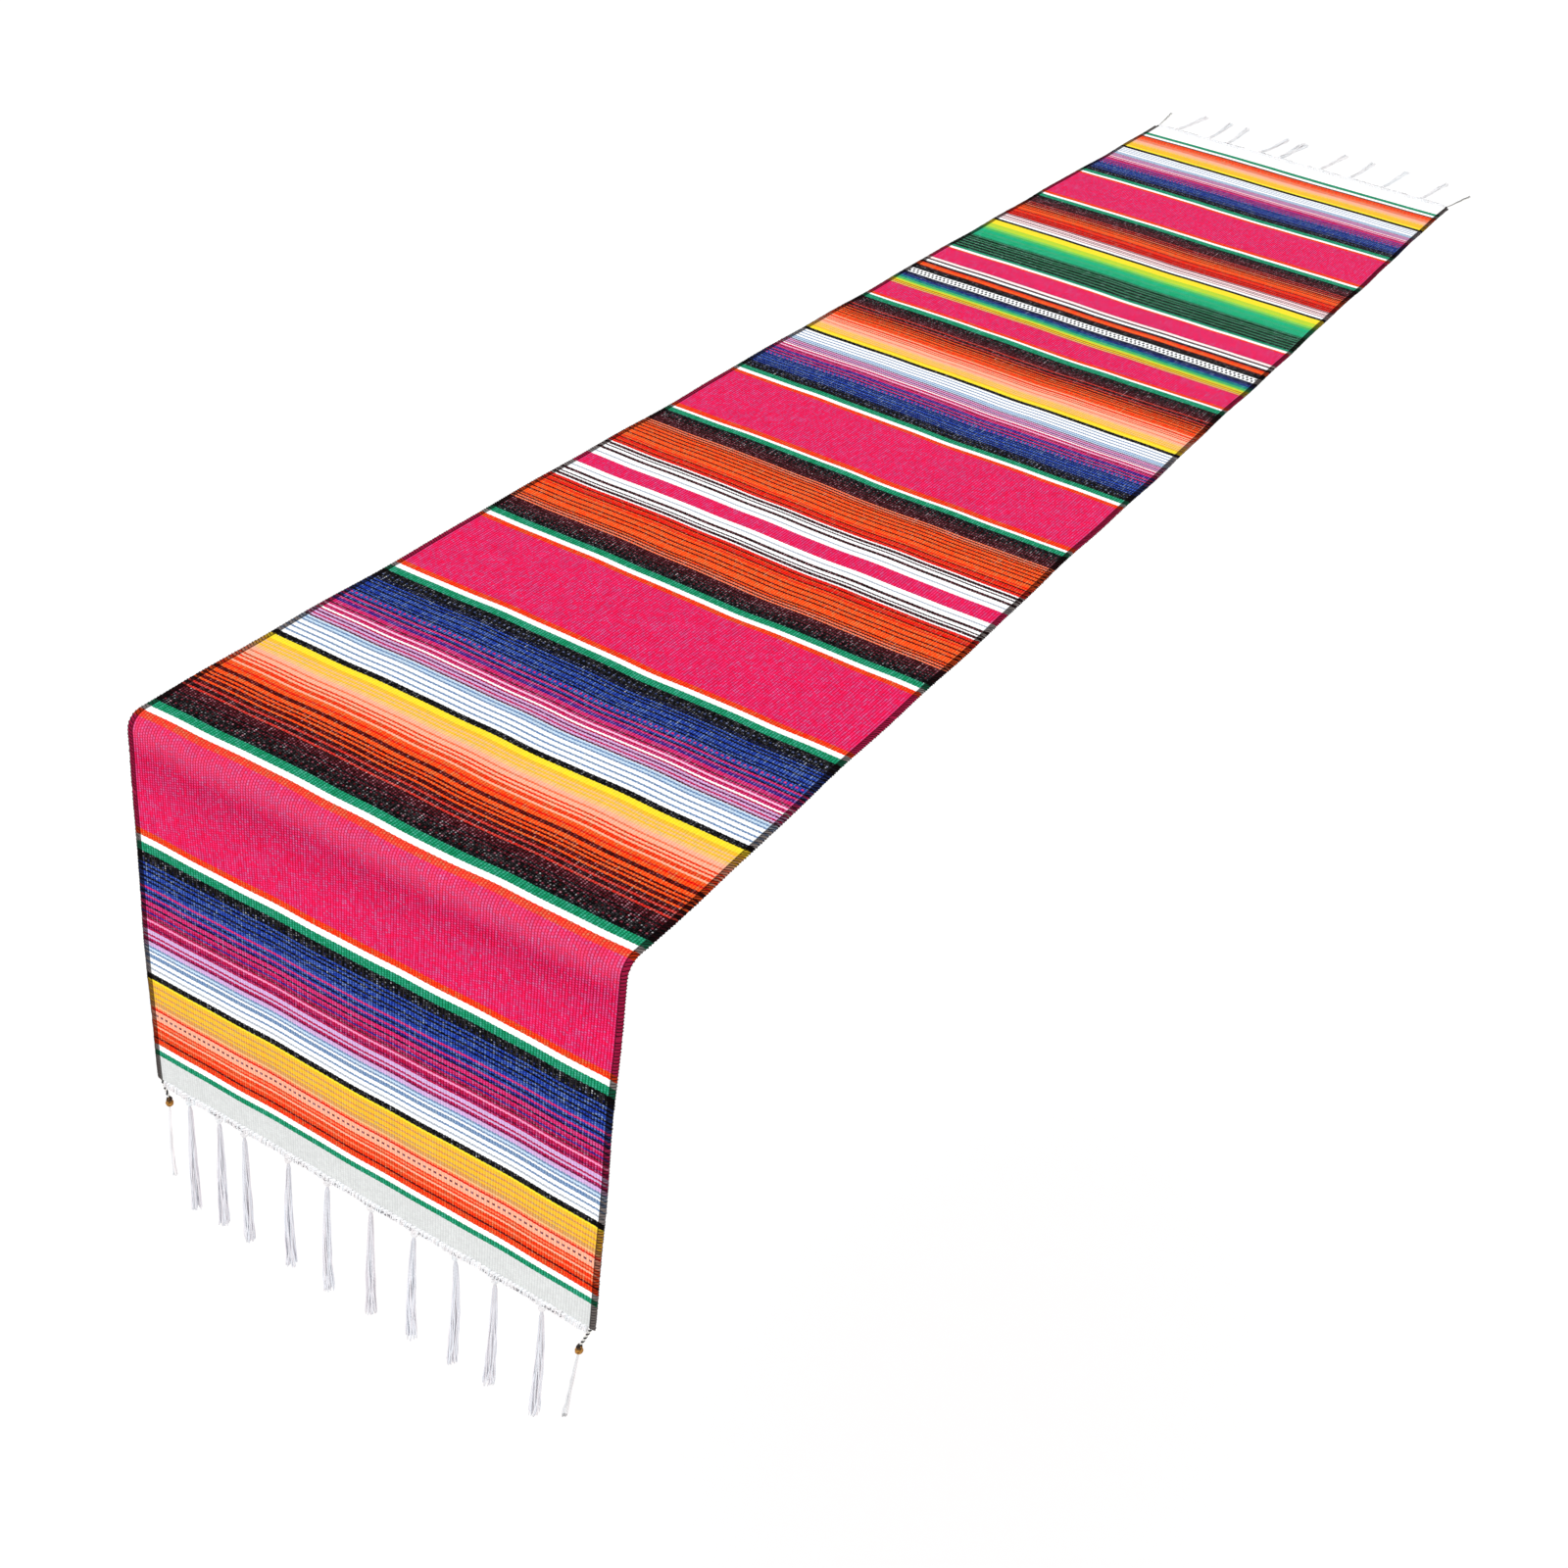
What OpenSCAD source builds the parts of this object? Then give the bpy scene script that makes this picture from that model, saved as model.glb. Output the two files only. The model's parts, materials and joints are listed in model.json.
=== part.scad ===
// Striped serape table runner. It lies along a table top, hangs over the front edge and
// carries a tasselled fringe at both ends.
//
// Frame: X runs across the runner, Y runs along it towards the flat far end and Z is up.
// The origin is the centre of the face that rests on the table top, so the table surface
// is Z = 0 and the hanging end reaches below it. All sizes are in millimetres.

/* [Cloth] */
// Width of the runner over its bound edges
runner_w = 356; // [250:1:450]
// Thickness of the woven cloth
cloth_t = 1.4; // [1:0.1:2.5]
// Length that lies on the table, from the start of the fold to the far end
flat_len = 1610; // [1000:10:1800]
// Length of the straight hanging end, from the fold down to the cloth's edge
drop_len = 282; // [150:1:400]
// Length of the far end that can be lifted off the table
far_len = 300; // [150:10:400]
// Radius of the fold over the table edge, to the middle of the cloth
fold_r = 10; // [6:0.5:20]

/* [Bound edges] */
// Width of the overlock stitching on top of the cloth
overlock_w = 4.5; // [3:0.5:8]
// Thickness of the stitching above the cloth
overlock_lip = 0.5; // [0.3:0.1:1]
// Thickness of the stitching outside the cut edge
overlock_side = 1.5; // [1:0.1:2]

/* [Fringe] */
// Radius of the twined cord along each end of the cloth
cord_r = 1.5; // [1:0.1:2]
// Radius of the knot at the top of each tassel
knot_r = 2.7; // [2:0.1:3.5]
// Length of the gathered yarn between the cord and the middle of a hanging knot
neck_len = 5.9; // [5:0.1:9]
// Length of a hanging tassel, from the middle of its knot to its cut ends
near_tassel_len = 104; // [60:1:130]
// Length of a tassel that lies on the table, from the middle of its knot
far_tassel_len = 84; // [60:1:130]
// Radius of a hanging tassel at its cut ends
near_tassel_r = 3.6; // [2.7:0.1:4.5]
// Radius of a lying tassel at its cut ends
far_tassel_r = 2.7; // [2:0.1:2.7]
// Radius of a tassel just below its knot
tassel_top_r = 1.8; // [1:0.1:2]

/* [Corner threads] */
// Radius of the twisted thread that leaves each hanging corner
corner_thread_r = 1.1; // [0.8:0.1:1.5]
// Radius of the knot in the corner thread
corner_knot_r = 3; // [2:0.1:4]
// Radius of the wisp of thread below that knot
wisp_r = 1.2; // [0.8:0.1:1.5]
// Length of a hanging wisp, from the middle of its knot
near_wisp_len = 72; // [40:1:90]
// Length of a wisp that lies on the table
far_wisp_len = 70; // [40:1:90]

/* [Hidden] */
$fn = 48;
clear = 0.3;                                  // gap between pieces that turn past each other
neck_r = 0.7 * tassel_top_r;                  // gathered yarn above a hanging knot
upper_turn_r = 0.8 * corner_knot_r;           // smaller second turn of a corner knot
corner_inset = 2.5;                           // from the outer edge to a corner thread
half_w = runner_w / 2;
cloth_half_w = half_w - overlock_side;
fold_y = -flat_len / 2;                       // where the cloth leaves the table top
fold_in_r = fold_r - cloth_t / 2;             // radius of the table edge under the fold
fold_z = -fold_in_r;                          // height of the fold's centre line
drop_y = fold_y - fold_in_r - cloth_t;        // outer face of the hanging end
drop_mid_y = fold_y - fold_r;                 // middle of the hanging cloth
hem_z = fold_z - drop_len;                    // lower edge of the hanging cloth
far_y = flat_len / 2;                         // far edge of the cloth
lift_y = far_y - far_len;                     // line about which the far end lifts
near_cord_z = hem_z - cord_r;
near_knot_z = near_cord_z - cord_r - neck_len;
far_cord_y = far_y + cord_r;
far_knot_y = far_cord_y + cord_r + knot_r;

// Places of the hanging tassels across the runner, tied by hand at uneven steps
near_x = [-152, -126, -104, -66, -33, 3, 38, 71, 102, 138];
// Places of the lying tassels across the runner
far_x = [-152, -112, -89, -49, -25, 24, 60, 99, 145];
// How far each lying tassel slants towards +X, in degrees
far_slant = [4, -1, -2, 4, 3, 4, 2, 3, 4];
// Middle of each hanging corner knot [x, distance below the hem], left then right
corner_hangs = [[-171, 21], [167, 28]];
corner_knots = [for (c = corner_hangs) [c[0], hem_z - c[1]]];
corner_x = half_w - corner_inset;             // where the thread leaves the hanging corner
// Middle of each lying corner knot [x, slant in degrees], left then right
far_corners = [[-175, -6], [175, 8]];
far_corner_knot_r = 1.6;
far_corner_y = far_y + far_corner_knot_r;

near_names = [for (i = [1:len(near_x)]) str("near_tassel_", i)];
far_names = [for (i = [1:len(far_x)]) str("far_tassel_", i)];
near_wisps = ["near_wisp_left", "near_wisp_right"];
far_wisps = ["far_wisp_left", "far_wisp_right"];

// ---- Woven cloth ----

// A flat length of cloth on the table between two places along Y
module flat_cloth(y0, y1) {
    translate([-cloth_half_w, y0, 0]) cube([2 * cloth_half_w, y1 - y0, cloth_t]);
}

module cloth_top() {
    color("deeppink") flat_cloth(fold_y, lift_y);
}

module cloth_far_end() {
    color("orangered") flat_cloth(lift_y, far_y);
}

// Sweeps a [height above the cloth's underside, x] outline round the table edge,
// from the top down to the front
module round_the_edge() {
    translate([0, fold_y, fold_z])
        rotate([180, 0, 0])
            rotate([0, 90, 0])
                rotate_extrude(angle = 90)
                    translate([fold_in_r, 0]) children();
}

module cloth_fold() {
    color("hotpink")
        round_the_edge()
            translate([0, -cloth_half_w]) square([cloth_t, 2 * cloth_half_w]);
}

module cloth_drop() {
    color("royalblue")
        translate([-cloth_half_w, drop_y, hem_z])
            cube([2 * cloth_half_w, cloth_t, drop_len]);
}

// ---- Overlock stitching that binds the long edges ----

// Section of the binding on the right edge: [height above the underside, x]
module overlock_outline() {
    polygon([
        [0, cloth_half_w],
        [0, half_w],
        [cloth_t + overlock_lip, half_w],
        [cloth_t + overlock_lip, half_w - overlock_w],
        [cloth_t, half_w - overlock_w],
        [cloth_t, cloth_half_w]
    ]);
}

// A straight length of binding along +Z, with the cloth's upper side facing +X
module overlock_straight(length) {
    linear_extrude(length) overlock_outline();
}

// A flat length of binding on the table
module overlock_flat(y0, y1) {
    translate([0, y0, 0])
        multmatrix([[0, 1, 0, 0], [0, 0, 1, 0], [1, 0, 0, 0], [0, 0, 0, 1]])
            overlock_straight(y1 - y0);
}

module overlock_down() {
    translate([0, drop_y + cloth_t, hem_z])
        multmatrix([[0, 1, 0, 0], [-1, 0, 0, 0], [0, 0, 1, 0], [0, 0, 0, 1]])
            overlock_straight(drop_len);
}

// side is 1 on the right and -1 on the left
module on_side(side) {
    if (side > 0) children();
    else mirror([1, 0, 0]) children();
}

module overlock_top(side) {
    color("maroon") on_side(side) overlock_flat(fold_y, lift_y);
}

module overlock_far(side) {
    color("maroon") on_side(side) overlock_flat(lift_y, far_y);
}

module overlock_fold(side) {
    color("crimson") on_side(side) round_the_edge() overlock_outline();
}

module overlock_drop(side) {
    color("maroon") on_side(side) overlock_down();
}

// ---- Twined cord and knots along the two ends ----

// A cord across the runner that stops short of the bound edges
module twined_cord() {
    cord_half = cloth_half_w - overlock_w;
    rotate([0, 90, 0])
        translate([0, 0, -cord_half]) cylinder(r = cord_r, h = 2 * cord_half);
}

module twined_cord_near() {
    color("gainsboro") translate([0, drop_mid_y, near_cord_z]) twined_cord();
}

module twined_cord_far() {
    color("gainsboro") translate([0, far_cord_y, cord_r]) twined_cord();
}

// A hanging knot with its neck of gathered yarn, centred on the knot
module hanging_knot() {
    sphere(r = knot_r);
    cylinder(r = neck_r, h = neck_len);
}

module tassel_knots_near() {
    color("white")
        for (x = near_x)
            translate([x, drop_mid_y, near_knot_z]) hanging_knot();
}

module tassel_knots_far() {
    color("white")
        for (x = far_x)
            translate([x, far_knot_y, knot_r]) sphere(r = knot_r);
    color("dimgray")
        for (c = far_corners)
            translate([c[0], far_corner_y, far_corner_knot_r]) sphere(r = far_corner_knot_r);
}

// ---- Threads tied off at the hanging corners ----

// A twisted thread between two points [x, z] of the hanging cloth's plane
module thread_between(a, b) {
    run = b - a;
    translate([a[0], drop_mid_y, a[1]]) {
        sphere(r = corner_thread_r);
        rotate([0, atan2(run[0], run[1]), 0])
            cylinder(r = corner_thread_r, h = norm(run));
    }
}

module corner_thread(i) {
    side = i == 0 ? -1 : 1;
    start = [side * corner_x, hem_z - corner_thread_r];
    knot = corner_knots[i];
    // The thread stops just above the knot's second turn
    stop = corner_knot_r + upper_turn_r + clear;
    reach = 1 - stop / norm(knot - start);
    color("dimgray") thread_between(start, start + reach * (knot - start));
}

// Two turns of thread pulled into a small double knot
module corner_knot(i) {
    knot = corner_knots[i];
    color("saddlebrown")
        translate([knot[0], drop_mid_y, knot[1]]) {
            sphere(r = corner_knot_r);
            translate([0, 0, corner_knot_r]) sphere(r = upper_turn_r);
        }
}

// ---- Tassels ----

// A bundle that hangs along -Z from a knot of radius r at the origin. Its rounded top
// keeps clear of the knot at every angle.
module bundle(r, length, top_r, end_r) {
    top_z = -(r + clear + top_r);
    translate([0, 0, top_z]) sphere(r = top_r);
    translate([0, 0, -length]) cylinder(r1 = end_r, r2 = top_r, h = length + top_z);
}

// Lays a hanging bundle down along +Y, turned by slant degrees towards +X
module laid(slant) {
    rotate([0, 0, -slant]) rotate([90, 0, 0]) children();
}

module near_tassel(i) {
    color("ghostwhite")
        translate([near_x[i], drop_mid_y, near_knot_z])
            bundle(knot_r, near_tassel_len, tassel_top_r, near_tassel_r);
}

module near_wisp(i) {
    knot = corner_knots[i];
    color("lightgray")
        translate([knot[0], drop_mid_y, knot[1]])
            bundle(corner_knot_r, near_wisp_len, wisp_r, wisp_r);
}

module far_tassel(i) {
    color("ghostwhite")
        translate([far_x[i], far_knot_y, knot_r])
            laid(far_slant[i])
                bundle(knot_r, far_tassel_len, tassel_top_r, far_tassel_r);
}

module far_wisp(i) {
    color("dimgray")
        translate([far_corners[i][0], far_corner_y, far_corner_knot_r])
            laid(far_corners[i][1])
                bundle(far_corner_knot_r, far_wisp_len, wisp_r, wisp_r);
}

cloth_top();
overlock_top(-1);  // overlock_top_left
overlock_top(1);  // overlock_top_right
cloth_fold();
overlock_fold(-1);  // overlock_fold_left
overlock_fold(1);  // overlock_fold_right
cloth_drop();
overlock_drop(-1);  // overlock_drop_left
overlock_drop(1);  // overlock_drop_right
cloth_far_end();
overlock_far(-1);  // overlock_far_left
overlock_far(1);  // overlock_far_right
twined_cord_near();
tassel_knots_near();
twined_cord_far();
tassel_knots_far();
corner_thread(0);  // corner_thread_left
corner_thread(1);  // corner_thread_right
corner_knot(0);  // corner_knot_left
corner_knot(1);  // corner_knot_right
for (i = [0:len(near_x) - 1]) near_tassel(i);
for (i = [0:1]) near_wisp(i);
for (i = [0:len(far_x) - 1]) far_tassel(i);
for (i = [0:1]) far_wisp(i);
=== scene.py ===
"""A striped serape table runner, draped over the front edge of a table, with bound long edges
and a tasselled fringe at both ends.

The cloth is a weft-faced plain weave: ribs run along the runner over its warp threads, and the
coloured weft picks pack down into grains that step half a grain from one rib to the next.
Everything is laid out in cloth coordinates, u across the runner and v along it from the cut edge
of the hanging end, and then put in place by cloth_point().
"""
import json
import math

import bpy
import numpy as np
from mathutils import Matrix, Vector


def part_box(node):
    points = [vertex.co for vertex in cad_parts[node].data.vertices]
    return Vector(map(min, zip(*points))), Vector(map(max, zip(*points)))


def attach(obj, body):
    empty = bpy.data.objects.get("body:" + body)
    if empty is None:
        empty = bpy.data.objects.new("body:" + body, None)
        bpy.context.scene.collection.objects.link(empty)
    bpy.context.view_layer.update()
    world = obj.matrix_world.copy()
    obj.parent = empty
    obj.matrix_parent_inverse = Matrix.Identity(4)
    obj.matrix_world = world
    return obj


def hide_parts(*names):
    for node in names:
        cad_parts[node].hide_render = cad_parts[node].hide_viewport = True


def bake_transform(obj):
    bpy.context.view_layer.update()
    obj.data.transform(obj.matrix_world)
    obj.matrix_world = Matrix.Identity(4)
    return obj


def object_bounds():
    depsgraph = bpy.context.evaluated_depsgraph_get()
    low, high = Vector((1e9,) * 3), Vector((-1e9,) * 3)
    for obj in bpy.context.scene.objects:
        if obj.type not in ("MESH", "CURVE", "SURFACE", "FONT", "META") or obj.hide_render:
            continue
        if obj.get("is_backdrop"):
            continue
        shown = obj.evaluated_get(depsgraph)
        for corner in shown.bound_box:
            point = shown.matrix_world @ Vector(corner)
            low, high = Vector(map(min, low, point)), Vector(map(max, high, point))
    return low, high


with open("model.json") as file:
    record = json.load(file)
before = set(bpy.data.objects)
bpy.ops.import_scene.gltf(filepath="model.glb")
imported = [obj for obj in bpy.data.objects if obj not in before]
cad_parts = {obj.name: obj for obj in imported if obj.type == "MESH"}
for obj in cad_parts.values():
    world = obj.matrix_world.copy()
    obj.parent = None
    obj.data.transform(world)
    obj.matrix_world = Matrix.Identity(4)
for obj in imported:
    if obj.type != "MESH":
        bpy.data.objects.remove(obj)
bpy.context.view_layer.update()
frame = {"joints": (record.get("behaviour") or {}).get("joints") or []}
MM = 0.001
TAU = 2 * math.pi


# ---- Sizes, from the CAD nodes ----

top_low, top_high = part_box("cloth_top")
drop_low, drop_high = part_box("cloth_drop")
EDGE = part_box("overlock_top_right")[1].x       # half the width, over the bound edges
HALF_T = top_high.z / 2                        # half the thickness of the cloth
FOLD_Y = top_low.y                             # where the cloth leaves the table top
FOLD_Z = drop_high.z                           # height of the fold's centre line
DROP_Y = (drop_low.y + drop_high.y) / 2        # middle of the hanging cloth
HEM_Z = drop_low.z                             # cut edge of the hanging cloth
LIFT_Y = top_high.y                            # line about which the far end lifts
FAR_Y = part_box("cloth_far_end")[1].y           # cut edge of the lying cloth
FOLD_R = FOLD_Y - DROP_Y
FOLD_FROM = FOLD_Z - HEM_Z                     # v at which the hanging cloth starts to bend
FOLD_TO = FOLD_FROM + FOLD_R * math.pi / 2     # v at which it lies flat
LENGTH = FOLD_TO + FAR_Y - FOLD_Y              # whole cloth, from cut edge to cut edge
LIFT_V = FOLD_TO + LIFT_Y - FOLD_Y

ROWS = 1122                                    # pairs of picks along the whole cloth
ROW = LENGTH / ROWS
RIBS = 174                                     # warp ribs between the bound edges
SEAM = 4.1 * MM                                # width of the bound edge
WEB = EDGE - SEAM                              # half the width of the open cloth
RIB = 2 * WEB / RIBS
CREST = 0.26 * MM                              # height of a rib above the groove beside it
STAGGER = 0.16 * MM                            # how far a stripe's edge steps from rib to rib


# ---- Yarn colours and the order of the picks ----

def linear(colour):
    """A 0 to 255 display colour as scene linear numbers."""
    c = np.asarray(colour, float) / 255
    return np.where(c <= 0.04045, c / 12.92, ((c + 0.055) / 1.055) ** 2.4)


YARN = {
    name: linear(colour)
    for name, colour in {
        "linen": (214, 216, 215), "bleached": (249, 250, 250), "white": (247, 248, 249),
        "grey": (176, 184, 196), "pink": (223, 42, 104), "rosepink": (240, 150, 190),
        "palepink": (244, 190, 220), "magenta": (208, 52, 118), "crimson": (186, 30, 88),
        "wine": (128, 26, 82), "plum": (112, 48, 72), "blush": (250, 226, 226),
        "lavender": (210, 176, 218), "ice": (200, 220, 238), "steel": (124, 150, 184),
        "violet": (104, 54, 136), "indigo": (62, 52, 142), "blue": (50, 80, 164),
        "royal": (32, 54, 128), "navy": (20, 28, 70), "slate": (58, 68, 104),
        "black": (10, 11, 14), "soot": (28, 20, 22), "maroon": (86, 20, 32),
        "garnet": (58, 14, 20), "ruby": (206, 66, 56), "darkred": (92, 8, 8),
        "red": (224, 38, 24), "fire": (232, 70, 26), "orange": (240, 94, 36),
        "coral": (244, 128, 92), "shell": (250, 178, 150), "salmon": (224, 136, 108),
        "rust": (196, 78, 44), "peach": (240, 190, 128), "sand": (216, 156, 96),
        "gold": (240, 190, 56), "yellow": (244, 222, 52), "brown": (160, 88, 22),
        "lime": (186, 214, 62), "leaf": (134, 206, 92), "mint": (78, 184, 104),
        "emerald": (34, 180, 130), "green": (32, 146, 108), "pine": (14, 84, 60),
        "forest": (4, 24, 18), "sage": (72, 150, 112), "teal": (26, 132, 134),
        "rose": (222, 158, 166),
    }.items()
}

# Each stripe block is a run of yarns with how many rows of each, from its dark side to its
# light side. Two names with a slash are the two picks of a row, which show on the even and the
# odd ribs as dots. A block is stretched or shrunk a little to the length it fills.
NIGHT_BLOCK = (
    "black 3 slate/black 1 black 2 navy 1 black 1 blue 1 black 1 blue 1 black 1 blue 2 black 1 "
    "blue 2 navy 1 blue 1 black 1 blue 1 magenta/blue 1 blue 1 navy 1 magenta 1 blue 1 navy 1 "
    "magenta 1 violet 1 indigo 1 magenta 2 plum 1 magenta 1 palepink 1 crimson 1 magenta 1 "
    "white 1 crimson 1 lavender 1 wine 1 lavender 1 crimson 1 lavender 1 plum 1 ice 1 steel 1 "
    "ice 1 steel 1 white 2 steel 1 white 2 steel 1 white 2 steel 1 white 2"
)
DROP_NIGHT_BLOCK = (
    "black 3 navy/black 1 black 1 blue 1 black 1 blue 1 black 1 blue 2 black 1 blue 1 navy 1 "
    "blue 1 black 1 blue 1 magenta 1 blue 1 navy 1 blue 1 magenta 1 indigo 1 navy 1 magenta 2 "
    "navy 1 magenta 1 crimson 1 indigo 1 crimson 1 plum 1 crimson 1 rosepink 1 crimson 2 wine 1 "
    "crimson 1 lavender 2 crimson 1 lavender 1 crimson 1 wine 1 lavender 1 plum 1 lavender 1 "
    "steel 1 ice 1 steel 1 white 1 steel 2 white 2 steel 1 white 2 grey 1 white 2"
)
FIRE_BLOCK = (
    "black 2 maroon/black 1 soot 1 black 1 maroon/soot 1 black 1 maroon 1 black 1 maroon 1 "
    "garnet 1 maroon 1 garnet 1 ruby 1 garnet 2 ruby 1 darkred 1 garnet 1 orange 1 darkred 2 "
    "orange 1 darkred 1 orange 1 darkred 1 orange 2 darkred 1 orange 2 red 1 orange 2 shell 1 "
    "fire 2 shell 1 fire 1 shell 1 fire 1 shell 2 coral 1 shell 2 peach 2 gold 1 peach 1 gold 1 "
    "peach 1 gold 2 yellow 3"
)
EMBER_BLOCK = (
    "black 3 maroon/black 1 black 1 maroon/soot 1 black 1 maroon 1 soot 1 maroon 1 garnet 1 "
    "maroon 1 garnet 1 coral 1 garnet 1 coral 1 darkred 1 orange 1 darkred 1 orange 2 darkred 1 "
    "orange 2 darkred 1 orange 2 darkred 1 orange 3 darkred 1 orange 2 red 1 orange 1 darkred 1 "
    "red 2 fire 1 darkred 1 red 2"
)
PINSTRIPES = "white 1 garnet 2 white 1 garnet 1 white 2 garnet 1 white 3 grey 1 white 3"
SHORT_FIRE = (
    "fire 3 darkred 1 fire 2 coral 1 fire 2 shell 1 fire 1 coral 1 fire 1 shell 2 plum/shell 1 "
    "shell 1 fire 1 shell 1 red 1 coral 1 peach 1 sand 2 gold 1 sand 1 gold 2 sand 1 gold 2 "
    "sand 1 gold 2 yellow 1"
)
FAR_FIRE = (
    "darkred 2 orange 1 fire 2 coral/fire 1 orange 2 coral 2 salmon 2 coral 1 shell 3 peach 3 "
    "gold/peach 1 gold 6 yellow 3"
)
RAINBOW = "rust 1 peach 1 brown 1 yellow 1 brown 1 gold 1 lime 2 mint 2 teal 3 royal 3 navy 3"
CHAIN = "black 1 white 1 black/white 2 white 1 white/black 2 white 1 black 1"
AFTER_CHAIN = (
    "black 4 garnet 2 orange 3 fire 2 garnet 1 black 1 white 3 garnet 2 blush 3 crimson 1"
)
LEAF_BLOCK = (
    "forest 3" + " sage 1 forest 3" * 3 + " sage 1 forest 2" * 2
    + " pine 1 sage 1 forest 1 emerald 1 green 1 emerald 2 green 1 emerald 2 sage 1 emerald 5"
    + " mint 3 leaf 3 lime 6 yellow 7"
)
ROSE_FIRE = (
    "black 3 maroon/black 1 soot 1 maroon/soot 1 black 1 maroon 2 garnet 1 maroon 1 garnet 2 "
    "maroon 1 garnet 1 ruby 1 garnet 2 ruby 1 darkred 2 coral 1 darkred 2 orange 1 darkred 1 "
    "orange 2 darkred 1 orange 2 fire 1 orange 1 darkred 1 red 2 fire 1 red 2 darkred 1 red 2 "
    "darkred 1 red 2 darkred 1 rose 1 garnet 1 blush 2 wine 1 blush 1 garnet 1 blush 2 wine 1 "
    "white 3"
)

# (where the run ends, in mm from the cut edge of the hanging end; the run; turned end for end)
DRAFT = [
    (21.3, "linen 1", False), (27.2, "green 1", False), (31.6, "white 1", False),
    (89.9, SHORT_FIRE, False), (95.2, "black 1", False),
    (196.2, DROP_NIGHT_BLOCK, True),
    (202.1, "green 1", False), (207.3, "white 1", False), (213.2, "fire 1", False),
    (291.9, "pink 1", False),
    (296.7, "fire 1", False), (302.4, "white 1", False), (308.9, "green 1", False),
    (407.7, FIRE_BLOCK, False), (412.6, "black 1", False),
    (514.6, NIGHT_BLOCK, True),
    (521.9, "green 1", False), (526.4, "white 1", False), (531.6, "fire 1", False),
    (615.0, "pink 1", False),
    (620.7, "fire 1", False), (626.4, "white 1", False), (632.9, "green 1", False),
    (704.2, EMBER_BLOCK, False), (730.9, PINSTRIPES, False), (750.6, "pink 1", False),
    (776.2, PINSTRIPES, True), (853.2, EMBER_BLOCK, True),
    (859.7, "green 1", False), (864.5, "white 1", False), (871.0, "fire 1", False),
    (953.6, "pink 1", False),
    (959.3, "fire 1", False), (963.8, "white 1", False), (971.5, "green 1", False),
    (1074.3, NIGHT_BLOCK, False), (1079.2, "black 1", False),
    (1180.4, FIRE_BLOCK, True),
    (1187.7, "green 1", False), (1192.6, "white 1", False), (1197.4, "fire 1", False),
    (1231.5, "pink 1", False),
    (1265.5, RAINBOW, False), (1280.1, CHAIN, False), (1318.9, AFTER_CHAIN, False),
    (1351.3, "pink 1", False),
    (1354.9, "fire 1", False), (1359.4, "white 1", False), (1365.9, "green 1", False),
    (1460.7, LEAF_BLOCK, False), (1466.4, "black 1", False),
    (1568.4, ROSE_FIRE, True),
    (1576.5, "green 1", False), (1581.4, "white 1", False), (1588.6, "fire 1", False),
    (1673.7, "pink 1", False),
    (1678.6, "fire 1", False), (1683.4, "white 1", False), (1691.5, "green 1", False),
    (1798.5, NIGHT_BLOCK, False), (1805.8, "black 1", False),
    (1860.0, FAR_FIRE, True),
    (1867.0, "white 1", False), (1875.4, "green 1", False), (1e4, "bleached 1", False),
]


def picks():
    """The colours of every row of weft from the cut edge of the hanging end: two picks each."""
    colours = np.zeros((ROWS, 2, 3))
    done = 0
    for ends, run, turned in DRAFT:
        words = run.split()
        names, counts = words[0::2], np.array(words[1::2], float)
        if turned:
            names, counts = names[::-1], counts[::-1]
        until = min(ROWS, round(ends * MM / LENGTH * ROWS))
        marks = np.round(done + np.cumsum(counts) / counts.sum() * (until - done)).astype(int)
        for name, start, stop in zip(names, [done, *marks[:-1]], marks):
            first, second = (name + "/" + name).split("/")[:2]
            colours[start:stop, 0] = YARN[first]
            colours[start:stop, 1] = YARN[second]
        done = marks[-1]
    return colours


WEFT = picks()


# ---- The shape of the cloth ----

def smooth(x, low, high):
    t = np.clip((x - low) / (high - low), 0, 1)
    return t * t * (3 - 2 * t)


def bump(x, centre, width):
    return np.exp(-(((x - centre) / width) ** 2))


def swell(u, v):
    """How far the cloth stands off the table, or off its front, as it relaxes."""
    hang = 1 - smooth(v, 0.15, 0.27)
    lying = smooth(v, 0.31, 0.40)
    flutes = 0.5 + 0.5 * np.sin(TAU * u / 0.19 + 1.1 + 2.0 * v)
    ripple = 0.5 + 0.25 * np.sin(TAU * v / 0.43 + 9 * u) + 0.25 * np.sin(TAU * v / 0.17 - 21 * u)
    puff = 1.6 * bump(u, -0.12, 0.05) * bump(v, 0.25, 0.035)
    return MM * (hang * (0.5 + 1.5 * flutes * smooth(v, -0.1, 0.12)) + lying * 0.9 * ripple + puff)


def wander(u, v):
    """How far a weft stripe strays along the runner from a straight line."""
    hanging = -0.6 * bump(u, -0.11, 0.045) + 0.5 * bump(u, 0.035, 0.05)
    lying = 0.8 * bump(u, -0.085, 0.04) - 1.5 * bump(u, 0.03, 0.035) - 0.4 * bump(u, 0.12, 0.05)
    share = smooth(v, 0.215, 0.30)
    small = 0.2 * np.sin(TAU * u / 0.083 + 3 * v) + 0.15 * np.sin(TAU * u / 0.047 - 11 * v)
    ends = smooth(v, -0.02, 0.03) * (1 - 0.6 * smooth(v, LENGTH - 0.08, LENGTH))
    return MM * ends * (hanging * (1 - share) + lying * share + small)


def waist(v):
    """How far the bound edges draw in or bulge."""
    return MM * (0.5 * np.sin(TAU * v / 0.31) + 0.3 * np.sin(TAU * v / 0.113 + 1.3) - 0.3)


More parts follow.
